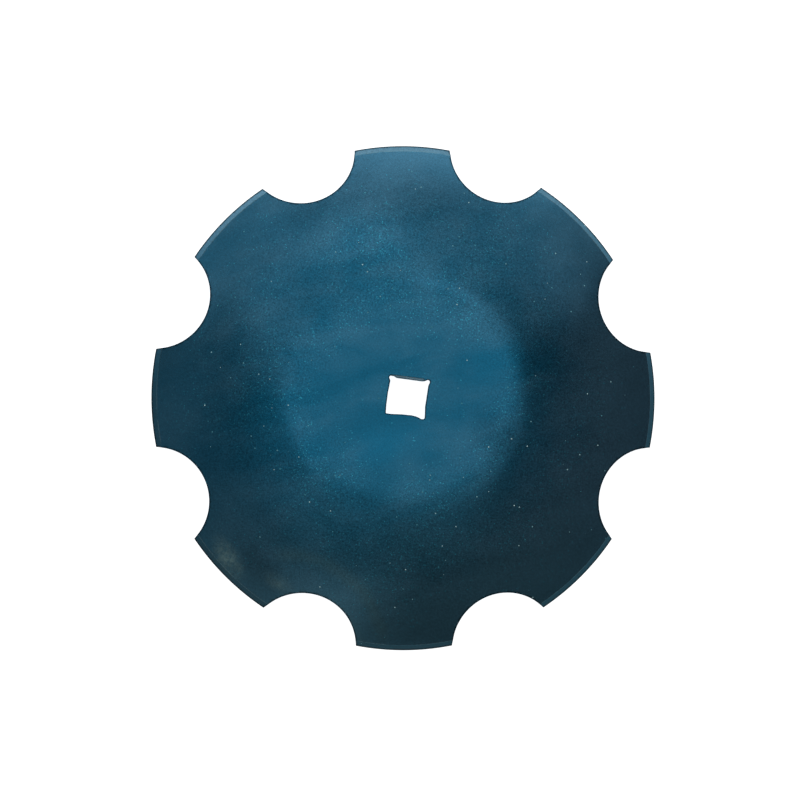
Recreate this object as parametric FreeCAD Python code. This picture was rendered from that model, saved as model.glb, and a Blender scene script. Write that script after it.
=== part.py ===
"""Notched disc blade for a disc harrow.

One piece of hardened boron steel plate. A round blank is punched with a square
axle hole and eight round notches, its rim is ground to a bevel on the outer
face, and it is pressed hot into a dish: a flat centre, a bend ring and a
spherical outer zone. The two faces of the sheet stay parallel and every notch
wall stays square to the sheet. The bevel runs along the tooth edges only.

Frame: millimetres, +Z up along the axle, convex (bevelled) face up. The origin
is on the axle's centreline, in the plane of the eight tooth edges, which is the
plane that the blade lies on. X and Y run along the sides of the square hole.
"""
import FreeCAD, Part
import os
from math import asin, cos, degrees, hypot, pi, radians, sin, sqrt

V = FreeCAD.Vector

# ---- driving dimensions, mm and degrees ------------------------------------
BLADE_DIA = 560.0          # over the tooth edges
PLATE = 5.0                # plate thickness
CONCAVITY = 51.0           # concave face of the flat centre above the tooth edges
BEND_R = 105.0             # convex face, bend ring between flat and sphere
FLAT_R = 112.0             # radius of the flat centre
EDGE_LAND = 1.5            # thickness left at the cutting edge
BEVEL_PLAN = 5.9           # width of the rim bevel, seen along the axle

TOOTH_PHASE = 7.35         # middle of the first tooth from +X
# The notches are punched one by one and aren't quite even. Each: degrees off its
# even place, axle to notch centre, and radius, all as seen along the axle.
NOTCHES = (
    (-0.60, 296.2, 59.4), (0.65, 296.4, 58.8), (0.20, 297.8, 59.8), (0.00, 297.9, 59.5),
    (0.05, 299.5, 60.0), (0.10, 298.8, 60.1), (-0.15, 298.1, 59.6), (-0.20, 298.0, 59.5),
)

# Clear outline through the plate, anticlockwise from the corner at -X -Y. The
# hole is 43 mm square over its corners. The walls bow in between them, and leave
# 38.4 mm clear for the axle along Y and 41.6 mm along X.
HOLE_OUTLINE = (
    (-20.9, -20.8), (-15.5, -20.9), (-3.0, -19.8), (7.5, -19.5), (12.6, -20.1),
    (16.4, -21.2), (17.9, -22.2), (20.3, -22.2), (22.2, -19.6), (22.1, -17.0),
    (21.2, -8.0), (21.5, 0.0), (21.8, 14.6), (22.4, 17.0), (21.0, 19.2),
    (17.0, 19.4), (14.6, 18.9), (-13.6, 19.0), (-15.4, 19.6), (-20.0, 19.2),
    (-20.4, 14.4), (-20.9, 8.0), (-21.4, 2.0), (-21.4, -12.0),
)
# Round corner reliefs: centre x, centre y, radius. The corner at -X -Y has none.
HOLE_EARS = ((-20.0, 18.6, 2.2), (-17.5, 18.6, 2.1), (20.7, 19.0, 2.35), (20.2, -20.1, 2.1))
LIP_X = (-19.6, 16.5)      # extent of the sloping lip in the +Y wall
LIP_Y = (19.00, 22.1)      # clear line, and the edge at the convex face
LIP_DEEP = 3.4             # depth of the slope below the convex face
PLAIN_CORNER_R = 0.6       # corner radius at -X -Y

# ---- the sheet's section ----------------------------------------------------
R = BLADE_DIA / 2.0


def dish(sphere_r):
    """Angles, heights and top face of a dish whose convex sphere has this radius."""
    rb = sphere_r - PLATE
    bend = asin(FLAT_R / (sphere_r - BEND_R))
    edge = asin(R / (rb + EDGE_LAND))
    zs = -rb * cos(edge)                            # height of the sphere's centre
    zb = zs + (sphere_r - BEND_R) * cos(bend)       # height of the bend's centre
    return bend, edge, zs, zb, zb + BEND_R


def sphere_for(top):
    """The convex sphere's radius that puts the flat centre's top face at this height."""
    lo, hi = 400.0, 1500.0                          # a flatter sphere is a lower dish
    for _ in range(80):
        mid = (lo + hi) / 2
        if dish(mid)[4] > top:
            lo = mid
        else:
            hi = mid
    return (lo + hi) / 2


SPHERE_R = sphere_for(CONCAVITY + PLATE)            # convex face, spherical zone
SPHERE_RB = SPHERE_R - PLATE                        # concave face
bend_angle, edge_angle, sphere_z, bend_z, top_z = dish(SPHERE_R)
bevel_angle = asin((R - BEVEL_PLAN) / SPHERE_R)


def on_sphere(radius, angle):
    return V(radius * sin(angle), 0, sphere_z + radius * cos(angle))


def on_bend(radius, angle):
    return V(FLAT_R + radius * sin(angle), 0, bend_z + radius * cos(angle))


def arc(a, b, c):
    return Part.Arc(a, b, c).toShape()


def line(a, b):
    return Part.LineSegment(a, b).toShape()


def dished_blank():
    """The half section from the axle out to the cutting edge, turned round Z."""
    bt, bb = BEND_R, BEND_R - PLATE
    mid = (bend_angle + edge_angle) / 2
    top0, top1 = V(0, 0, top_z), V(FLAT_R, 0, top_z)
    top2 = on_bend(bt, bend_angle)
    top3 = on_sphere(SPHERE_R, bevel_angle)
    land = on_sphere(SPHERE_RB + EDGE_LAND, edge_angle)
    low3 = on_sphere(SPHERE_RB, edge_angle)
    low2 = on_bend(bb, bend_angle)
    low1, low0 = V(FLAT_R, 0, top_z - PLATE), V(0, 0, top_z - PLATE)
    section = Part.Wire([
        line(top0, top1),
        arc(top1, on_bend(bt, bend_angle / 2), top2),
        arc(top2, on_sphere(SPHERE_R, mid), top3),
        line(top3, land),
        line(land, low3),
        arc(low3, on_sphere(SPHERE_RB, mid), low2),
        arc(low2, on_bend(bb, bend_angle / 2), low1),
        line(low1, low0),
        line(low0, top0),
    ])
    return Part.Face(section).revolve(V(0, 0, 0), V(0, 0, 1), 360)


# ---- notches ------------------------------------------------------------------
def notch_wire(z, pitch, radius):
    """Outline of a notch at height z, for a notch whose middle is on +X.

    On the convex face it is a circle as seen along the axle. It is carried
    along the sheet's normals, which all meet in the sphere's centre, so that
    the wall is square to the sheet. Beyond the rim it runs straight out.
    """
    half, steps = radians(74.0), 28
    flat = []
    for i in range(steps + 1):
        t = pi + half - 2 * half * i / steps
        flat.append((pitch + radius * cos(t), radius * sin(t)))
    out_x = R + 30.0
    ends = [(out_x, flat[-1][1] * 1.15), (out_x, flat[0][1] * 1.15)]

    def lift(x, y):
        s = (z - sphere_z) / sqrt(SPHERE_R**2 - x * x - y * y)
        return V(x * s, y * s, z)

    curve = Part.BSplineCurve()
    curve.interpolate([lift(*p) for p in flat])
    a, b = lift(*flat[-1]), lift(*ends[0])
    c, d = lift(*ends[1]), lift(*flat[0])
    return Part.Wire([curve.toShape(), line(a, b), line(b, c), line(c, d)])


def notch_tool(pitch, radius):
    return Part.makeLoft([notch_wire(z, pitch, radius) for z in (-14.0, 34.0)], True, True)


# ---- square hole --------------------------------------------------------------
def prism(points, z0, depth):
    pts = [V(x, y, z0) for x, y in points]
    return Part.Face(Part.makePolygon(pts + pts[:1])).extrude(V(0, 0, depth))


def hole_tool():
    z0, depth = top_z - PLATE - 2.0, PLATE + 4.0
    tool = prism(HOLE_OUTLINE, z0, depth)
    corner = [
        e for e in tool.Edges
        if hypot(e.CenterOfMass.x - HOLE_OUTLINE[0][0], e.CenterOfMass.y - HOLE_OUTLINE[0][1]) < 1e-3
    ]
    tool = tool.makeFillet(PLAIN_CORNER_R, corner)
    slope = (LIP_Y[1] - LIP_Y[0]) / LIP_DEEP
    lip = [
        V(LIP_X[0], 12.0, top_z - LIP_DEEP),
        V(LIP_X[0], LIP_Y[0], top_z - LIP_DEEP),
        V(LIP_X[0], LIP_Y[1] + 1.5 * slope, top_z + 1.5),
        V(LIP_X[0], 12.0, top_z + 1.5),
    ]
    wedge = Part.Face(Part.makePolygon(lip + lip[:1])).extrude(V(LIP_X[1] - LIP_X[0], 0, 0))
    tool = tool.fuse(wedge)
    for x, y, r in HOLE_EARS:
        tool = tool.fuse(Part.makeCylinder(r, depth, V(x, y, z0)))
    return tool.removeSplitter()


def main():
    blade = dished_blank()
    for k, (off, pitch, radius) in enumerate(NOTCHES):
        tool = notch_tool(pitch, radius)
        tool.rotate(V(0, 0, 0), V(0, 0, 1), TOOTH_PHASE + (k + 0.5) * 360.0 / len(NOTCHES) + off)
        blade = blade.cut(tool)
    blade = blade.cut(hole_tool())
    blade = blade.Solids[0]

    os.makedirs("parts", exist_ok=True)
    blade.exportStep(os.path.join("parts", "disc_blade.step"))
    b = blade.BoundBox
    print("valid", blade.isValid(), "solids", len(blade.Solids), "faces", len(blade.Faces))
    print("box %.2f %.2f %.2f .. %.2f %.2f %.2f" % (b.XMin, b.YMin, b.ZMin, b.XMax, b.YMax, b.ZMax))
    print("volume cm3 %.1f, steel kg %.2f" % (blade.Volume / 1e3, blade.Volume * 7.85e-6))
    print("sphere_r %.3f top_z %.6f sphere_z %.3f bend_z %.3f bend %.3f edge %.3f bevel %.3f deg" % (
        SPHERE_R, top_z, sphere_z, bend_z, degrees(bend_angle), degrees(edge_angle), degrees(bevel_angle)))


main()
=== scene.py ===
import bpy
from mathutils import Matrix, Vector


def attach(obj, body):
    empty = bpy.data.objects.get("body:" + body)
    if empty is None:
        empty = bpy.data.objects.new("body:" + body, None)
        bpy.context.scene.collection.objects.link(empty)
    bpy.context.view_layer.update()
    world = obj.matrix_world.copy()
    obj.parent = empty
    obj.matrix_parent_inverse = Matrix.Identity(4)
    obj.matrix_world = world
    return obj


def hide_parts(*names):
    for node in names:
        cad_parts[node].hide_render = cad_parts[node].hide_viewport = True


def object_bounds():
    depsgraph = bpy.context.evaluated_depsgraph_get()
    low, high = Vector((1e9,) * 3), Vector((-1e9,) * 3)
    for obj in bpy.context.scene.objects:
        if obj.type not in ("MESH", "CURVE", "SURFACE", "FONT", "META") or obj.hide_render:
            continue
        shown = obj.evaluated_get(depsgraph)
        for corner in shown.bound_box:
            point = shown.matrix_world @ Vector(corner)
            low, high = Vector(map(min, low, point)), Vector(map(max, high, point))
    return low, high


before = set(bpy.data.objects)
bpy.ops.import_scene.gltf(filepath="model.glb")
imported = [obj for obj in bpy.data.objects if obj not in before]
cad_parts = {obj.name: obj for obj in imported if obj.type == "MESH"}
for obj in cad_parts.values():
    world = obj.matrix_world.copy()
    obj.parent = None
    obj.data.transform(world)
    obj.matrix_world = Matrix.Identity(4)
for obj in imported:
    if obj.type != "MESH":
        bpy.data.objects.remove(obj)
CAD_LOW, CAD_HIGH = [list(map(float, c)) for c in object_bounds()]

import math

import bpy
import numpy as np
from mathutils import Matrix, Vector
from mathutils.geometry import delaunay_2d_cdt

rng = np.random.default_rng(41)

# ------------------------------------------------------------------ the sheet
# Millimetres here, metres in the mesh. These are the part's own dimensions.
R = CAD_HIGH[0] * 1000.0 - 0.04      # tooth edge, just inside the CAD box
PLATE = 5.0
FLAT_R = 112.0
BEND_R = 105.0
LAND = 1.5
BEVEL = 5.9
PHASE = math.radians(7.35)
NOTCHES = [
    (-0.60, 296.2, 59.4), (0.65, 296.4, 58.8), (0.20, 297.8, 59.8), (0.00, 297.9, 59.5),
    (0.05, 299.5, 60.0), (0.10, 298.8, 60.1), (-0.15, 298.1, 59.6), (-0.20, 298.0, 59.5),
]
NOTCHES = [(PHASE + (i + 0.5) * math.pi / 4 + math.radians(o), p, r) for i, (o, p, r) in enumerate(NOTCHES)]
ROLL_NOTCH = 0.75                    # rolled edge of the notches
ROLL_TOOTH = 0.22
ROLL_HOLE = 0.85

HOLE_OUTLINE = [
    (-20.9, -20.8), (-15.5, -20.9), (-3.0, -19.8), (7.5, -19.5), (12.6, -20.1),
    (16.4, -21.2), (17.9, -22.2), (20.3, -22.2), (22.2, -19.6), (22.1, -17.0),
    (21.2, -8.0), (21.5, 0.0), (21.8, 14.6), (22.4, 17.0), (21.0, 19.2),
    (17.0, 19.4), (14.6, 18.9), (-13.6, 19.0), (-15.4, 19.6), (-20.0, 19.2),
    (-20.4, 14.4), (-20.9, 8.0), (-21.4, 2.0), (-21.4, -12.0),
]
HOLE_EARS = [(-20.0, 18.6, 2.2), (-17.5, 18.6, 2.1), (20.7, 19.0, 2.35), (20.2, -20.1, 2.1)]
LIP_X0, LIP_X1 = -19.6, 16.5
LIP_Y0, LIP_Y1 = 19.00, 22.1
LIP_DEEP = 3.4


def solve_dish():
    lo, hi = 400.0, 1500.0
    for _ in range(80):
        s = (lo + hi) / 2
        rb = s - PLATE
        edge = math.asin(280.0 / (rb + LAND))
        bend = math.asin(FLAT_R / (s - BEND_R))
        zs = -rb * math.cos(edge)
        zb = zs + (s - BEND_R) * math.cos(bend)
        if zb + BEND_R > 56.0:
            lo = s
        else:
            hi = s
    return s, bend, edge, zs, zb


SR, BEND_A, EDGE_A, SZ, BZ = solve_dish()
RB = SR - PLATE
BEVEL_A = math.asin((280.0 - BEVEL) / SR)
BEND_OUT = FLAT_R + BEND_R * math.sin(BEND_A)
Q_RIM = SR * math.sin(EDGE_A) * (R / 280.0)      # rim circle, on the convex sphere
Q_ARRIS = SR * math.sin(BEVEL_A)

# the bevel's line in the section, from its inner edge to the land
B0 = np.array([SR * math.sin(BEVEL_A), SZ + SR * math.cos(BEVEL_A)])
B1 = np.array([280.0, SZ + (RB + LAND) * math.cos(EDGE_A)])


def smooth(a, b, x):
    t = np.clip((x - a) / (b - a), 0.0, 1.0)
    return t * t * (3.0 - 2.0 * t)


BEND_SOFT = 9.0                      # the pressed bend fades in and out over about this much
R_TAB = np.arange(-60.0, 330.0, 0.05)


def height_table(off):
    """Height against radius, with the ends of the bend eased by up to 0.15 mm."""
    r = np.abs(R_TAB)
    out = FLAT_R + (BEND_R - off) * math.sin(BEND_A)
    slope = np.where(r < FLAT_R, 0.0, np.where(r < out, (r - FLAT_R) / (BEND_R - off), r / (SR - off)))
    tan = slope / np.sqrt(1.0 - slope ** 2)
    n = int(4 * BEND_SOFT / 0.05)
    ker = np.exp(-0.5 * (np.arange(-n, n + 1) * 0.05 / BEND_SOFT) ** 2)
    soft = np.convolve(np.pad(tan, n, mode="edge"), ker / ker.sum(), "valid")
    soft = np.where(r > 200.0, tan, soft)
    z = -np.cumsum(soft) * 0.05
    z -= np.interp(240.0, R_TAB, z)
    return z + math.sqrt((SR - off) ** 2 - 240.0 ** 2) + SZ


HEIGHTS = {False: height_table(0.0), True: height_table(PLATE)}
HEIGHTS[False] -= max(0.0, float(HEIGHTS[False].max()) - 56.0)


def plate_height(r, under):
    """Height of the flat, bend and sphere zones of the upper or under face."""
    return np.interp(r, R_TAB, HEIGHTS[bool(under)])


print("bend eased by", [round(float(np.interp(0.0, R_TAB, HEIGHTS[k])), 3) for k in (False, True)])


# low, slow waves that hot pressing and quenching leave in the sheet
WAVES = []
for _ in range(26):
    ang, lam = rng.uniform(0, math.pi), rng.uniform(38.0, 120.0)
    WAVES.append((
        2 * math.pi / lam * math.cos(ang), 2 * math.pi / lam * math.sin(ang),
        rng.uniform(0, 2 * math.pi), (lam / 100.0) ** 1.6 * rng.uniform(0.5, 1.0),
    ))
WAVE_AMP = 0.016


def waves(x, y):
    z = np.zeros_like(x)
    for kx, ky, ph, amp in WAVES:
        z += amp * np.sin(kx * x + ky * y + ph)
    return WAVE_AMP * z


def ray_top(q):
    """Distance from the sphere's centre to the upper face, for rays past the bend."""
    r = np.hypot(q[:, 0], q[:, 1])
    a = np.arcsin(np.clip(r / SR, 0, 0.99))
    d = B1 - B0
    # ray (t sin a, SZ + t cos a) meets the bevel's line
    num = (B0[1] - SZ) * d[0] - B0[0] * d[1]
    den = np.cos(a) * d[0] - np.sin(a) * d[1]
    line = num / den
    # a small round on the arris between the face and the bevel
    k = 0.10
    h = np.clip(0.5 + 0.5 * (SR - line) / k / 2, 0, 1)
    return line * h + SR * (1 - h) - k * h * (1 - h)


def top_point(q):
    """Upper face over the plan position q (mm)."""
    x, y = q[:, 0], q[:, 1]
    r = np.hypot(x, y)
    t = ray_top(q)
    w = smooth(205.0, 235.0, r)
    s = np.where(w > 0, t / SR, 1.0)
    s = 1.0 + (s - 1.0) * w
    zr = SZ + t * np.sqrt(np.maximum(1 - (r / SR) ** 2, 0))
    z = np.where(w >= 1.0, zr, plate_height(r, False) * (1 - w) + zr * w)
    # sloping lip at the hole's upper wall
    into = 1.0 - smooth(LIP_Y0, LIP_Y1 + 0.25, y)
    ends = smooth(LIP_X0 - 2.4, LIP_X0 + 1.0, x) * (1 - smooth(LIP_X1 - 3.0, LIP_X1 + 1.6, x))
    near = (y > 10.0) & (y < 26.0) & (np.abs(x) < 26.0)
    z = z - np.where(near, LIP_DEEP * into * ends, 0.0)
    z = z + waves(x, y) - WAVE_SHIFT
    return np.stack([x * s, y * s, z], 1)


def under_point(q):
    x, y = q[:, 0], q[:, 1]
    r = np.hypot(x, y)
    w = smooth(FLAT_R - 30.0, FLAT_R + 60.0, r)
    s = 1.0 + (RB / SR - 1.0) * w
    return np.stack([x * s, y * s, plate_height(r * s, True) + 0.6 * (waves(x, y) - WAVE_SHIFT) * (1 - smooth(250, 279, r))], 1)


g = np.linspace(-280, 280, 281)
gx, gy = np.meshgrid(g, g)
WAVE_SHIFT = float(waves(gx.ravel(), gy.ravel())[np.hypot(gx, gy).ravel() < 281].max()) + 0.004


def face_normals(fn, q, flip):
    e = 0.15
    dx = fn(q + [e, 0]) - fn(q - [e, 0])
    dy = fn(q + [0, e]) - fn(q - [0, e])
    n = np.cross(dx, dy)
    n /= np.linalg.norm(n, axis=1, keepdims=True)
    return -n if flip else n


# ------------------------------------------------------------- the outlines
def outer_outline():
    """Stations round the rim, anticlockwise: place, and 0 on a tooth, 1 in a notch or 2 at a corner."""
    shape = []
    for c, pitch, rad in NOTCHES:
        half = math.acos((pitch ** 2 + rad ** 2 - Q_RIM ** 2) / (2 * pitch * rad))
        shape.append((c, pitch, rad, half, math.asin(rad * math.sin(half) / Q_RIM)))
    pts, kinds = [], []
    for i, (c, pitch, rad, half, corner) in enumerate(shape):
        cx, cy = pitch * math.cos(c), pitch * math.sin(c)
        n = 96
        for j in range(n + 1):
            t = c + math.pi + half - 2 * half * j / n
            pts.append((cx + rad * math.cos(t), cy + rad * math.sin(t)))
            kinds.append(2 if j in (0, n) else 1)
        nxt = shape[(i + 1) % len(shape)]
        a0, a1 = c + corner, nxt[0] - nxt[4] + (2 * math.pi if i == len(shape) - 1 else 0)
        m = 60
        for j in range(1, m):
            t = a0 + (a1 - a0) * j / m
            pts.append((Q_RIM * math.cos(t), Q_RIM * math.sin(t)))
            kinds.append(0)
    return np.array(pts), np.array(kinds)


def hole_outline(n=520):
    """The hole as one ring of stations: its plain outline and the corner reliefs."""
    poly = np.array(HOLE_OUTLINE)
    th = np.linspace(-math.pi, math.pi, n * 4, endpoint=False)
    d = np.stack([np.cos(th), np.sin(th)], 1)
    r = np.zeros(len(th))
    for a, b in zip(poly, np.roll(poly, -1, 0)):
        e = b - a
        den = d[:, 0] * e[1] - d[:, 1] * e[0]
        t = (a[0] * e[1] - a[1] * e[0]) / np.where(np.abs(den) < 1e-9, 1e-9, den)
        u = (a[0] * d[:, 1] - a[1] * d[:, 0]) / np.where(np.abs(den) < 1e-9, 1e-9, den)
        r = np.where((u >= -1e-6) & (u <= 1 + 1e-6) & (t > 0), np.maximum(r, t), r)
    for cx, cy, cr in HOLE_EARS:
        b = d[:, 0] * cx + d[:, 1] * cy
        disc = b * b - (cx * cx + cy * cy - cr * cr)
        far = np.where(disc > 0, b + np.sqrt(np.maximum(disc, 0)), 0)
        r = np.maximum(r, np.where(b > 0, far, 0))
    ker = np.exp(-0.5 * (np.arange(-14, 15) / 4.5) ** 2)
    ker /= ker.sum()
    r = np.convolve(np.concatenate([r[-14:], r, r[:14]]), ker, "valid")
    p = d * r[:, None]
    # even spacing along the outline
    seg = np.linalg.norm(np.roll(p, -1, 0) - p, axis=1)
    s = np.concatenate([[0], np.cumsum(seg)])
    pc = np.concatenate([p, p[:1]])
    want = np.linspace(0, s[-1], n, endpoint=False)
    return np.stack([np.interp(want, s, pc[:, 0]), np.interp(want, s, pc[:, 1])], 1)


def inward(p, outer):
    """Unit direction into the metal at each station of an anticlockwise ring, mitred."""
    a = p - np.roll(p, 1, 0)
    b = np.roll(p, -1, 0) - p
    a /= np.linalg.norm(a, axis=1, keepdims=True)
    b /= np.linalg.norm(b, axis=1, keepdims=True)
    na, nb = np.stack([-a[:, 1], a[:, 0]], 1), np.stack([-b[:, 1], b[:, 0]], 1)
    n = na + nb
    n /= np.linalg.norm(n, axis=1, keepdims=True)
    n /= np.clip((n * na).sum(1), 0.55, 1.0)[:, None]
    return n if outer else -n


def in_poly(pts, poly):
    x, y = pts[:, 0], pts[:, 1]
    inside = np.zeros(len(pts), bool)
    for (x0, y0), (x1, y1) in zip(poly, np.roll(poly, -1, 0)):
        c = (y0 > y) != (y1 > y)
        with np.errstate(divide="ignore", invalid="ignore"):
            inside ^= c & (x < (x1 - x0) * (y - y0) / (y1 - y0) + x0)
    return inside


def hex_grid(half, step):
    ys = np.arange(-half, half + step, step * math.sqrt(3) / 2)
    rows = []
    for i, y in enumerate(ys):
        xs = np.arange(-half, half + step, step) + (step / 2 if i % 2 else 0)
        rows.append(np.stack([xs, np.full_like(xs, y)], 1))
    return np.concatenate(rows)


def fill_points(step, near_step, clear):
    """Points inside the sheet for the triangulation, kept off its outlines."""
    def clear_of_notches(p, gap):
        ok = np.hypot(p[:, 0], p[:, 1]) < Q_RIM - gap
        for c, pitch, rad in NOTCHES:
            ok &= np.hypot(p[:, 0] - pitch * math.cos(c), p[:, 1] - pitch * math.sin(c)) > rad + gap
        return ok

    def clear_of_hole(p, gap):
        return ~((np.abs(p[:, 0]) < 24.5 + gap) & (np.abs(p[:, 1]) < 24.5 + gap))

    base = hex_grid(284.0, step)
    base = base[clear_of_notches(base, clear) & clear_of_hole(base, clear)]
    rr = np.hypot(base[:, 0], base[:, 1])
    base = base[np.abs(rr - Q_ARRIS) > 1.3]
    parts = [base]
    if near_step:
        for off in (-0.55, -0.2, 0.2, 0.55):
            t = np.linspace(0, 2 * math.pi, 1100, endpoint=False)
            ring = np.stack([(Q_ARRIS + off) * np.cos(t), (Q_ARRIS + off) * np.sin(t)], 1)
            parts.append(ring[clear_of_notches(ring, 1.2)])
        fine = hex_grid(26.5, near_step)
        keep = ~in_poly(fine, HOLE_CLEAR) & ~((np.abs(fine[:, 0]) > 24.7) | (np.abs(fine[:, 1]) > 24.7))
        parts.append(fine[keep])
    return np.concatenate(parts)


def triangulate(outer, inner, pts):
    """Constrained triangles between two rings. Returns index triples into rings then points."""
    allp = np.concatenate([outer, inner, pts])
    no, ni = len(outer), len(inner)
    edges = [(i, (i + 1) % no) for i in range(no)]
    edges += [(no + i, no + (i + 1) % ni) for i in range(ni)]
    out = delaunay_2d_cdt([Vector(p) for p in allp], edges, [], 0, 1e-5, True)
    vo, faces, orig = out[0], out[2], out[3]
    src = np.array([o[0] if o else -1 for o in orig])
    f = np.array([tuple(x) for x in faces])
    f = src[f]
    f = f[(f >= 0).all(1)]
    c = allp[f].mean(1)
    ok = in_poly(c, outer) & ~in_poly(c, inner)
    f = f[ok]
    a, b, d = allp[f[:, 0]], allp[f[:, 1]], allp[f[:, 2]]
    area = (b[:, 0] - a[:, 0]) * (d[:, 1] - a[:, 1]) - (b[:, 1] - a[:, 1]) * (d[:, 0] - a[:, 0])
    f = np.where(area[:, None] < 0, f[:, ::-1], f)
    return allp, f[np.abs(area) > 1e-7]


OUT_Q, OUT_KIND = outer_outline()
OUT_DIR = inward(OUT_Q, True)
IN_Q = hole_outline()
IN_DIR = inward(IN_Q, False)
HOLE_CLEAR = IN_Q + IN_DIR * (ROLL_HOLE + 0.45)

# how big the rolled edge is at each station
rim_r = np.hypot(OUT_Q[:, 0], OUT_Q[:, 1])
OUT_ROLL = ROLL_NOTCH + (ROLL_TOOTH - ROLL_NOTCH) * np.maximum(smooth(262.0, 278.0, rim_r), 0)
IN_ROLL = np.full(len(IN_Q), ROLL_HOLE)


class Builder:
    def __init__(self):
        self.co, self.no, self.edge, self.faces, self.n = [], [], [], [], 0

    def add(self, co, no, edge=1.0):
        self.co.append(co)
        self.no.append(no)
        self.edge.append(np.broadcast_to(np.asarray(edge, float), len(co)))
        i = self.n
        self.n += len(co)
        return np.arange(i, self.n)

    def strip(self, a, b, flip=False):
        """Quads between two closed rings of equal length."""
        a2, b2 = np.roll(a, -1), np.roll(b, -1)
        q = np.stack([a, a2, b2, b], 1)
        self.faces.append(q[:, ::-1] if flip else q)


def build_blade():
    B = Builder()
    # faces
    rings = {}
    for under in (False, True):
        fn = under_point if under else top_point
        ro = OUT_ROLL * (0.6 if under else 1.0)
        ri = IN_ROLL * (0.6 if under else 1.0)
        o, i = OUT_Q + OUT_DIR * ro[:, None], IN_Q + IN_DIR * ri[:, None]
        pts = fill_points(4.6 if under else 3.1, 1.6 if under else 0.9, 2.4 if under else 1.7)
        allp, f = triangulate(o, i, pts)
        co, no = fn(allp), face_normals(fn, allp, under)
        ids = B.add(co, no, np.arange(len(allp)) < len(o) + len(i))
        B.faces.append((f[:, ::-1] if under else f) + ids[0])
        rings[under] = (ids[:len(o)], ids[len(o):len(o) + len(i)])

    def wall(q, dirs, roll, which, outer):
        """Rolled upper edge, wall and rolled lower edge, joined to both faces."""
        top_q = q + dirs * roll[:, None]
        p_top, n_top = top_point(top_q), face_normals(top_point, top_q, False)
        low_q = q + dirs * (0.6 * roll)[:, None]
        p_low, n_low = under_point(low_q), face_normals(under_point, low_q, True)
        # wall line of the station: where the plain wall meets both faces
        w_top, w_low = top_point(q), under_point(q)
        axis = w_top - w_low
        length = np.linalg.norm(axis, axis=1, keepdims=True)
        axis /= length
        out = np.stack([-dirs[:, 0], -dirs[:, 1], np.zeros(len(dirs))], 1)
        out /= np.linalg.norm(out, axis=1, keepdims=True)
        n_wall = out - (out * axis).sum(1, keepdims=True) * axis
        n_wall /= np.linalg.norm(n_wall, axis=1, keepdims=True)
        prev = rings[False][which]
        t_roll = np.minimum(roll[:, None], 0.42 * length)
        b_roll = np.minimum(0.6 * roll[:, None], 0.42 * length)
        for a in (0.33, 0.66, 1.0):
            ph = a * math.pi / 2
            p = w_top - axis * t_roll + axis * t_roll * math.cos(ph)
            p = p + (p_top - w_top + axis * 0.0) * (1 - math.sin(ph))
            n = n_top * math.cos(ph) + n_wall * math.sin(ph)
            n /= np.linalg.norm(n, axis=1, keepdims=True)
            cur = B.add(p, n)
            B.strip(prev, cur, flip=outer)
            prev = cur
        for a in (0.5,):
            p = (w_top - axis * t_roll) * (1 - a) + (w_low + axis * b_roll) * a
            cur = B.add(p, n_wall)
            B.strip(prev, cur, flip=outer)
            prev = cur
        for a in (1.0, 0.5):
            ph = a * math.pi / 2
            p = w_low + axis * b_roll - axis * b_roll * math.cos(ph)
            p = p + (p_low - w_low) * (1 - math.sin(ph))
            n = n_low * math.cos(ph) + n_wall * math.sin(ph)
            n /= np.linalg.norm(n, axis=1, keepdims=True)
            cur = B.add(p, n)
            B.strip(prev, cur, flip=outer)
            prev = cur
        B.strip(prev, rings[True][which], flip=outer)

    wall(OUT_Q, OUT_DIR, OUT_ROLL, 0, True)
    wall(IN_Q, IN_DIR, IN_ROLL, 1, False)
    co = np.concatenate(B.co) / 1000.0
    no = np.concatenate(B.no)
    me = bpy.data.meshes.new("blade")
    faces = [tuple(int(v) for v in f) for block in B.faces for f in block]
    me.from_pydata(co.tolist(), [], faces)
    me.polygons.foreach_set("use_smooth", [True] * len(me.polygons))
    me.update()
    me.normals_split_custom_set_from_vertices(no.tolist())
    me.attributes.new("edge", "FLOAT", "POINT").data.foreach_set("value", np.concatenate(B.edge).astype(np.float32))
    print("triangles", sum(len(p.vertices) - 2 for p in me.polygons))
    ob = bpy.data.objects.new("blade", me)
    bpy.context.scene.collection.objects.link(ob)
    return ob


blade = build_blade()


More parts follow.
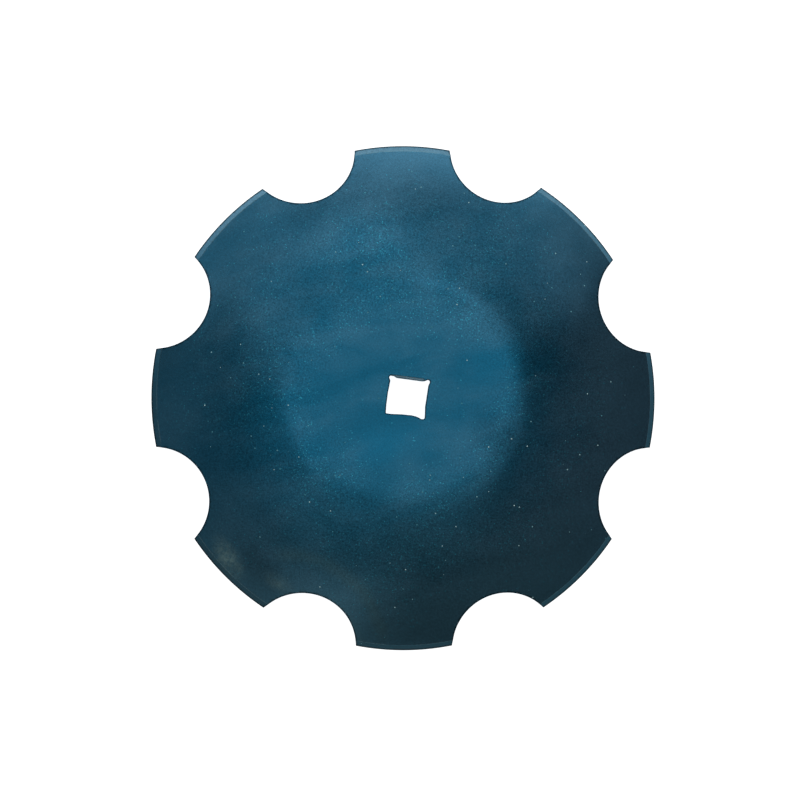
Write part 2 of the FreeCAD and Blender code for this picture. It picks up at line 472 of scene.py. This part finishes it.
# ------------------------------------------------------------------ material
class Nodes:
    """Small helper for building a node tree."""
    def __init__(self, tree):
        self.t = tree

    def put(self, socket, v):
        if isinstance(v, bpy.types.NodeSocket):
            self.t.links.new(v, socket)
        elif isinstance(v, (tuple, list)) and len(v) == 3 and socket.type == "RGBA":
            socket.default_value = (*v, 1.0)
        else:
            socket.default_value = v

    def math(self, op, a, b=0.0, c=0.0, clamp=False):
        n = self.t.nodes.new("ShaderNodeMath")
        n.operation, n.use_clamp = op, clamp
        for i, v in enumerate((a, b, c)):
            self.put(n.inputs[i], v)
        return n.outputs[0]

    def add(self, a, b):
        return self.math("ADD", a, b)

    def sub(self, a, b):
        return self.math("SUBTRACT", a, b)

    def mul(self, a, b):
        return self.math("MULTIPLY", a, b)

    def step(self, a, b, x):
        """0 below a, 1 above b, smooth between (or the other way round when a > b)."""
        n = self.t.nodes.new("ShaderNodeMapRange")
        n.interpolation_type = "SMOOTHSTEP"
        lo, hi, u, v = (a, b, 0.0, 1.0) if a < b else (b, a, 1.0, 0.0)
        for i, val in enumerate((x, lo, hi, u, v)):
            self.put(n.inputs[i], val)
        return n.outputs[0]

    def mix(self, f, a, b):
        n = self.t.nodes.new("ShaderNodeMix")
        n.data_type = "RGBA"
        self.put(n.inputs[0], f)
        self.put(n.inputs[6], a)
        self.put(n.inputs[7], b)
        return n.outputs[2]

    def scale_colour(self, col, f):
        n = self.t.nodes.new("ShaderNodeVectorMath")
        n.operation = "SCALE"
        self.t.links.new(col, n.inputs[0])
        self.put(n.inputs[3], f)
        return n.outputs[0]

    def noise(self, vec, scale, detail=2.0, rough=0.5, warp=0.0):
        n = self.t.nodes.new("ShaderNodeTexNoise")
        self.t.links.new(vec, n.inputs["Vector"])
        n.inputs["Scale"].default_value = scale
        n.inputs["Detail"].default_value = detail
        n.inputs["Roughness"].default_value = rough
        n.inputs["Distortion"].default_value = warp
        return n.outputs[0]

    def vec(self, x, y, z):
        n = self.t.nodes.new("ShaderNodeCombineXYZ")
        for i, v in enumerate((x, y, z)):
            self.put(n.inputs[i], v)
        return n.outputs[0]

    def cells(self, vec, scale, rnd=1.0):
        n = self.t.nodes.new("ShaderNodeTexVoronoi")
        n.feature = "F1"
        self.t.links.new(vec, n.inputs["Vector"])
        n.inputs["Scale"].default_value = scale
        n.inputs["Randomness"].default_value = rnd
        s = self.t.nodes.new("ShaderNodeSeparateColor")
        self.t.links.new(n.outputs["Color"], s.inputs[0])
        return n.outputs["Distance"], s.outputs[0], s.outputs[1]


def lacquer():
    m = bpy.data.materials.new("lacquered_steel")
    m.use_nodes = True
    nt = m.node_tree
    g = Nodes(nt)
    bsdf = nt.nodes["Principled BSDF"]
    tc = nt.nodes.new("ShaderNodeTexCoord")
    pos = tc.outputs["Object"]
    sep = nt.nodes.new("ShaderNodeSeparateXYZ")
    nt.links.new(pos, sep.inputs[0])
    x, y, z = sep.outputs
    ca, sa = math.cos(math.radians(7.33)), math.sin(math.radians(7.33))
    # u, v: across and up the blade (m)
    u = g.add(g.mul(x, ca), g.mul(y, sa))
    v = g.sub(g.mul(y, ca), g.mul(x, sa))
    r = g.math("SQRT", g.add(g.mul(x, x), g.mul(y, y)))
    geo = nt.nodes.new("ShaderNodeNewGeometry")
    nsep = nt.nodes.new("ShaderNodeSeparateXYZ")
    nt.links.new(geo.outputs["Normal"], nsep.inputs[0])
    nz = nsep.outputs[2]
    bevel = g.mul(g.step(0.27395, 0.27425, r), g.step(0.30, 0.42, nz))
    wall = g.mul(g.step(0.84, 0.50, g.math("ABSOLUTE", nz)), g.sub(1.0, bevel))
    under = g.step(0.1, -0.1, nz)

    at = nt.nodes.new("ShaderNodeAttribute")
    at.attribute_name = "edge"
    edge = g.step(0.25, 0.85, at.outputs["Fac"])

    # clouds in the lacquer film
    big = g.noise(pos, 8.5, 3.0, 0.45, 0.6)
    mid = g.noise(pos, 27.0, 4.0, 0.55, 0.3)
    # drawn out a little along the way the blade was wiped
    ct, st = math.cos(math.radians(12.0)), math.sin(math.radians(12.0))
    along = g.add(g.mul(u, ct), g.mul(v, st))
    across = g.sub(g.mul(v, ct), g.mul(u, st))
    swept = g.noise(g.vec(g.mul(along, 0.34), across, z), 21.0, 4.0, 0.55, 0.4)
    cloud = g.add(g.mul(big, 0.30), g.add(g.mul(mid, 0.22), g.mul(swept, 0.48)))
    grain = g.noise(pos, 520.0, 2.0, 0.6)
    fine = g.noise(pos, 1150.0, 1.0, 0.5)

    teal = (0.0048, 0.101, 0.184)
    slate = (0.023, 0.117, 0.194)
    col = g.mix(g.step(0.38, 0.64, cloud), teal, slate)
    # greyer towards the teeth, most of all away from the lower left
    reach = g.add(r, g.add(g.mul(g.sub(mid, 0.5), 0.06), g.mul(g.step(0.0, 0.2, g.sub(g.mul(u, -0.7), g.mul(v, 0.7))), -0.035)))
    outer = g.step(0.125, 0.225, reach)
    side = g.step(-0.10, 0.14, g.sub(g.mul(u, 0.6), g.mul(v, 0.8)))
    col = g.mix(g.mul(outer, g.add(0.20, g.mul(side, 0.78))), col, (0.056, 0.142, 0.214))
    # greener towards the foot; lighter towards the top, a painted highlight where the top of the blade catches the
    # light
    foot = g.step(-0.05, -0.26, g.add(v, g.mul(g.sub(mid, 0.5), 0.09)))
    col = g.mix(g.mul(foot, 0.5), col, (0.036, 0.128, 0.168))
    head = g.step(0.16, 0.275, g.add(v, g.mul(g.sub(mid, 0.5), 0.05)))
    col = g.mix(g.mul(head, 0.55), col, (0.046, 0.138, 0.214))

    # flakes and nibs
    belt = g.mul(g.step(0.055, 0.135, g.add(r, g.mul(g.sub(big, 0.5), 0.12))), g.step(0.27, 0.16, r))
    drift = g.noise(pos, 16.0, 3.0, 0.6)
    dens = g.mul(g.add(g.mul(belt, 0.8), 0.2), g.step(0.36, 0.66, drift))
    d1, pick1, tone1 = g.cells(pos, 620.0)
    flake = g.mul(g.step(0.48, 0.26, d1), g.step(0.0, 0.06, g.sub(pick1, g.sub(0.97, g.mul(dens, 0.42)))))
    col = g.mix(g.mul(flake, g.add(0.15, g.mul(g.mul(tone1, tone1), 0.75))), col, (0.035, 0.33, 0.46))
    d2, pick2, tone2 = g.cells(pos, 165.0)
    nib = g.mul(g.step(0.145, 0.09, d2), g.step(0.0, 0.02, g.sub(pick2, g.sub(0.972, g.mul(dens, 0.26)))))
    speck = g.mix(g.mul(tone2, tone2), (0.06, 0.30, 0.38), (0.72, 1.0, 1.0))

    # brightness: cloud, grain and fine tooth of the film
    bright = g.add(0.90, g.mul(g.sub(cloud, 0.5), 0.95))
    bright = g.add(bright, g.mul(g.sub(grain, 0.5), g.add(0.80, g.mul(belt, 0.95))))
    bright = g.add(bright, g.mul(g.sub(fine, 0.5), g.add(0.5, g.mul(belt, 0.4))))
    bright = g.add(bright, 0.12)

    # painted reflection: lighter and darker patches placed over the face where the film mirrors bright and dark
    # surroundings
    def blob(cu, cv, ang, a, b, soft=1.0):
        c, s_ = math.cos(math.radians(ang)), math.sin(math.radians(ang))
        du, dv = g.sub(u, cu), g.sub(v, cv)
        p = g.math("DIVIDE", g.add(g.mul(du, c), g.mul(dv, s_)), a)
        q = g.math("DIVIDE", g.sub(g.mul(dv, c), g.mul(du, s_)), b)
        d = g.add(g.math("SQRT", g.add(g.mul(p, p), g.mul(q, q))), g.mul(g.sub(mid, 0.5), 0.9))
        return g.step(1.0 + soft * 0.35, 1.0 - soft * 0.75, d)

    # lighter patches are painted reflections of bright surroundings, darker ones painted shade
    for cu, cv, turn, a, b, gain in (
            (0.097, 0.040, 30.0, 0.040, 0.026, 0.12), (0.103, -0.046, -24.0, 0.036, 0.026, -0.20), (0.074, 0.104, 145.0, 0.066, 0.020, -0.11),
            (-0.022, -0.052, 10.0, 0.046, 0.024, 0.22), (0.092, -0.222, 15.0, 0.056, 0.032, 0.16),
            (-0.150, -0.026, 84.0, 0.040, 0.030, 0.16), (-0.052, 0.122, 12.0, 0.040, 0.018, 0.09),
            (-0.160, -0.184, -52.0, 0.036, 0.018, -0.24), (-0.120, -0.126, -42.0, 0.052, 0.028, 0.15),
            (-0.244, 0.004, 84.0, 0.056, 0.034, 0.15), (0.190, 0.176, -48.0, 0.050, 0.034, -0.09),
            (0.002, 0.214, 0.0, 0.060, 0.024, -0.08), (-0.120, 0.142, 24.0, 0.060, 0.022, 0.10)):
        bright = g.add(bright, g.mul(blob(cu, cv, turn, a, b, 1.2), gain))

    # dusty rub on one tooth and the two faint runs beside it
    dust = g.step(0.34, 0.66, g.noise(pos, 150.0, 5.0, 0.65))
    rub = blob(-0.1955, -0.178, -60.0, 0.026, 0.0115, 1.3)
    rub = g.math("MAXIMUM", rub, g.mul(blob(-0.140, -0.205, -30.0, 0.018, 0.009, 1.3), 0.5))
    rub = g.mul(rub, g.add(0.35, g.mul(dust, 0.75)))
    col = g.mix(g.mul(rub, 0.85), col, (0.150, 0.265, 0.280))

    def run(cu, cv, rad, a0, a1, width):
        du, dv = g.sub(u, cu), g.sub(v, cv)
        rr = g.math("SQRT", g.add(g.mul(du, du), g.mul(dv, dv)))
        rr = g.add(rr, g.mul(g.sub(mid, 0.5), 0.010))
        ring = g.step(width, 0.0, g.math("ABSOLUTE", g.sub(rr, rad)))
        an = g.math("ARCTAN2", dv, du)
        lo, hi = math.radians(a0), math.radians(a1)
        soft = math.radians(14.0)
        return g.mul(ring, g.mul(g.step(lo, lo + soft, an), g.step(hi, hi - soft, an)))

    runs = g.math("MAXIMUM", run(-0.135, -0.285, 0.112, 2.0, 100.0, 0.0125), g.mul(run(-0.125, -0.300, 0.082, 4.0, 92.0, 0.009), 0.6))
    col = g.mix(g.mul(runs, 0.20), col, (0.085, 0.160, 0.155))

    # ground bevel under the film, with painted light on it: lighter towards the top and left, darker towards the
    # foot; and the thin film on its inner arris
    ang = g.math("ARCTAN2", y, x)
    top = g.sub(1.0, under)
    hatch = g.noise(g.vec(g.mul(ang, 1.0), g.mul(r, 0.35), 0.0), 260.0, 3.0, 0.65)
    ground = g.mul(bevel, g.step(0.27385, 0.27460, r))
    # painted highlight on the upper bevel and painted shade on the lower: lighter ground-steel colour and brightness
    # towards the top and left
    painted_top_light = g.step(-0.02, 0.29, v)
    col = g.mix(g.mul(ground, g.mul(painted_top_light, 0.8)), col, (0.082, 0.160, 0.218))
    bevel_painted_light = g.add(0.25, g.mul(painted_top_light, g.add(0.95, g.mul(g.step(0.02, -0.20, u), 0.40))))
    bright = g.mul(bright, g.add(g.sub(1.0, ground), g.mul(ground, g.mul(bevel_painted_light, g.add(1.0, g.mul(g.sub(hatch, 0.5), 0.8))))))
    arris = g.mul(g.mul(g.step(0.00055, 0.00012, g.math("ABSOLUTE", g.sub(r, 0.27392))), top), g.step(0.30, 0.62, g.noise(pos, 70.0, 3.0, 0.6)))
    col = g.mix(g.mul(arris, 0.55), col, (0.16, 0.27, 0.31))

    # lip and rim of the axle hole, where the punch dragged the sheet: lighter and duller, a painted reflection of
    # the light the sloping lip catches
    in_lip = g.mul(g.mul(g.step(0.0236, 0.0218, y), g.step(0.0180, 0.0188, y)), g.mul(g.step(-0.0215, -0.0190, x), g.step(0.0182, 0.0155, x)))
    lip = g.mul(g.mul(in_lip, top), g.step(0.97, 0.85, nz))
    col = g.mix(g.mul(lip, 0.85), col, (0.190, 0.345, 0.430))

    # sheared walls and the steep part of the rolled edges darker: painted shade along the cut edges, with the
    # punch's fine upright drag lines
    drag = g.noise(g.vec(g.mul(x, 1.0), g.mul(y, 1.0), g.mul(z, 0.06)), 900.0, 3.0, 0.6)
    bright = g.mul(bright, g.sub(1.0, g.mul(wall, g.add(0.30, g.mul(g.sub(drag, 0.5), 0.5)))))
    # underside: duller film with faint rings from the pressing die
    rings = g.noise(g.vec(g.mul(r, 1.0), 0.0, 0.0), 190.0, 3.0, 0.6)
    bright = g.mul(bright, g.sub(1.0, g.mul(under, g.add(0.10, g.mul(g.sub(rings, 0.5), 0.22)))))
    # painted shade: darker along every cut outline and wall
    bright = g.mul(bright, g.sub(1.0, g.mul(edge, 0.62)))
    bright = g.mul(bright, g.sub(1.0, g.mul(g.step(0.2778, 0.2788, r), 0.45)))
    col = g.scale_colour(col, g.math("MAXIMUM", bright, 0.04))
    col = g.mix(nib, col, speck)
    nt.links.new(col, bsdf.inputs["Base Color"])

    rough = g.add(0.235, g.mul(g.sub(cloud, 0.5), 0.10))
    rough = g.add(rough, g.mul(g.sub(grain, 0.5), 0.06))
    rough = g.add(rough, g.mul(rub, 0.16))
    rough = g.add(rough, g.mul(bevel, 0.16))
    rough = g.add(rough, g.mul(wall, 0.14))
    rough = g.add(rough, g.mul(under, 0.10))
    rough = g.add(rough, g.mul(nib, 0.15))
    rough = g.math("MINIMUM", g.math("MAXIMUM", rough, 0.12), 0.85)
    nt.links.new(rough, bsdf.inputs["Roughness"])

    # relief: slow swell of the sheet, orange peel, nibs, hatch on the bevel, drag on the walls
    h = g.mul(g.noise(pos, 13.0, 2.0, 0.4), 0.00042)
    h = g.add(h, g.mul(g.noise(pos, 60.0, 2.0, 0.5), 0.000035))
    h = g.add(h, g.mul(g.noise(pos, 330.0, 2.0, 0.5), 0.0000060))
    h = g.add(h, g.mul(grain, 0.0000035))
    h = g.add(h, g.mul(nib, 0.00005))
    h = g.add(h, g.mul(g.mul(hatch, bevel), 0.000022))
    h = g.add(h, g.mul(g.mul(drag, wall), 0.000030))
    h = g.add(h, g.mul(g.mul(rings, under), 0.000030))
    bump = nt.nodes.new("ShaderNodeBump")
    bump.inputs["Strength"].default_value = 1.0
    bump.inputs["Distance"].default_value = 1.0
    nt.links.new(h, bump.inputs["Height"])
    nt.links.new(bump.outputs[0], bsdf.inputs["Normal"])

    # nibs, and the dragged lip under its painted reflection, scatter light; the film elsewhere mirrors it
    metal = g.math("MAXIMUM", g.sub(1.0, g.add(nib, g.mul(lip, 0.8))), 0.0)
    nt.links.new(metal, bsdf.inputs["Metallic"])
    bsdf.inputs["Specular Tint"].default_value = (0.40, 0.78, 0.95, 1)
    bsdf.inputs["Coat Weight"].default_value = 0.10
    bsdf.inputs["Coat Roughness"].default_value = 0.12
    bsdf.inputs["Coat IOR"].default_value = 1.5
    return m


blade.data.materials.append(lacquer())
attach(blade, "root")
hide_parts("disc_blade")


# --------------------------------------------------------------------- stage
def make_floor():
    me = bpy.data.meshes.new("floor")
    s = 14.0
    me.from_pydata([(-s, -s, -0.0006), (s, -s, -0.0006), (s, s, -0.0006), (-s, s, -0.0006)], [], [(0, 1, 2, 3)])
    ob = bpy.data.objects.new("floor", me)
    bpy.context.scene.collection.objects.link(ob)
    m = bpy.data.materials.new("pale_floor")
    m.use_nodes = True
    b = m.node_tree.nodes["Principled BSDF"]
    b.inputs["Base Color"].default_value = (0.8, 0.8, 0.8, 1)
    b.inputs["Roughness"].default_value = 0.9
    b.inputs["Specular IOR Level"].default_value = 0.0
    b.inputs["Emission Color"].default_value = (1, 1, 1, 1)
    b.inputs["Emission Strength"].default_value = 0.95
    me.materials.append(m)
    return ob


make_floor()

LIGHTS = [
    # name, azimuth from +X and angle from straight up (deg), distance, width, height (m), radiance
    ("overhead_far", 124.0, 18.2, 2.2, 1.59, 1.95, 0.571),
    ("head_softbox", 84.0, 47.6, 2.2, 3.09, 1.30, 0.462),
    ("overhead_near", 263.2, 5.8, 2.2, 2.04, 1.73, 0.171),
    ("left_low", 146.8, 57.1, 2.2, 1.21, 0.97, 0.537),
    ("foot_fill", 219.2, 41.0, 2.2, 3.08, 2.04, 0.116),
    ("head_strip_right", 58.4, 25.1, 2.2, 0.84, 0.39, 0.943),
    ("head_horizon", 94.4, 71.5, 2.2, 2.89, 1.40, 1.080),
    ("foot_card", 259.7, 51.4, 2.2, 0.65, 0.85, 0.237),
    ("overhead_strip", 303.2, 10.0, 2.2, 1.87, 0.92, 0.178),
]


def area_light(name, az, tilt, dist, w, h, radiance):
    d = bpy.data.lights.new(name, "AREA")
    d.shape = "RECTANGLE"
    d.size, d.size_y = w, h
    d.energy = radiance * math.pi * w * h
    ob = bpy.data.objects.new(name, d)
    a, t = math.radians(az), math.radians(tilt)
    direction = Vector((math.sin(t) * math.cos(a), math.sin(t) * math.sin(a), math.cos(t)))
    ob.location = direction * dist
    ob.rotation_euler = direction.to_track_quat("Z", "Y").to_euler()
    ob.visible_camera = False
    bpy.context.scene.collection.objects.link(ob)
    return ob


for args in LIGHTS:
    area_light(*args)

world = bpy.data.worlds.new("studio")
bpy.context.scene.world = world
world.use_nodes = True
world.node_tree.nodes["Background"].inputs["Color"].default_value = (0.17, 0.17, 0.17, 1)
world.node_tree.nodes["Background"].inputs["Strength"].default_value = 1.0

# -------------------------------------------------------------------- camera
CAM_DIST = 5.0
CAM_TILT = math.radians(3.865)       # off the axle
CAM_SIDE = math.radians(205.82)      # towards this side, from +X
CAM_ROLL = math.radians(7.33)        # the frame's +X shows this far clockwise
CAM_LENS = 202.67
OFF_X, OFF_Y = 3.79, 2.11            # where the origin shows, off the middle, in 800ths of the frame

cam_data = bpy.data.cameras.new("camera")
cam = bpy.data.objects.new("camera", cam_data)
bpy.context.scene.collection.objects.link(cam)
back = Vector((math.sin(CAM_TILT) * math.cos(CAM_SIDE), math.sin(CAM_TILT) * math.sin(CAM_SIDE), math.cos(CAM_TILT)))
up = Vector((-math.sin(CAM_ROLL), math.cos(CAM_ROLL), 0.0))
zc = back.normalized()
xc = up.cross(zc).normalized()
yc = zc.cross(xc)
rot = Matrix((xc, yc, zc)).transposed()
per_px = CAM_DIST * 36.0 / CAM_LENS / 800.0
cam.matrix_world = Matrix.Translation(back * CAM_DIST - xc * OFF_X * per_px - yc * OFF_Y * per_px) @ rot.to_4x4()
cam_data.sensor_width = 36.0
cam_data.lens = CAM_LENS
cam_data.clip_end = 100.0
bpy.context.scene.camera = cam

bpy.context.scene.view_settings.view_transform = "Standard"
bpy.context.scene.view_settings.look = "None"
bpy.context.scene.view_settings.exposure = 0.0
bpy.context.scene.view_settings.gamma = 1.0

bpy.context.view_layer.update()
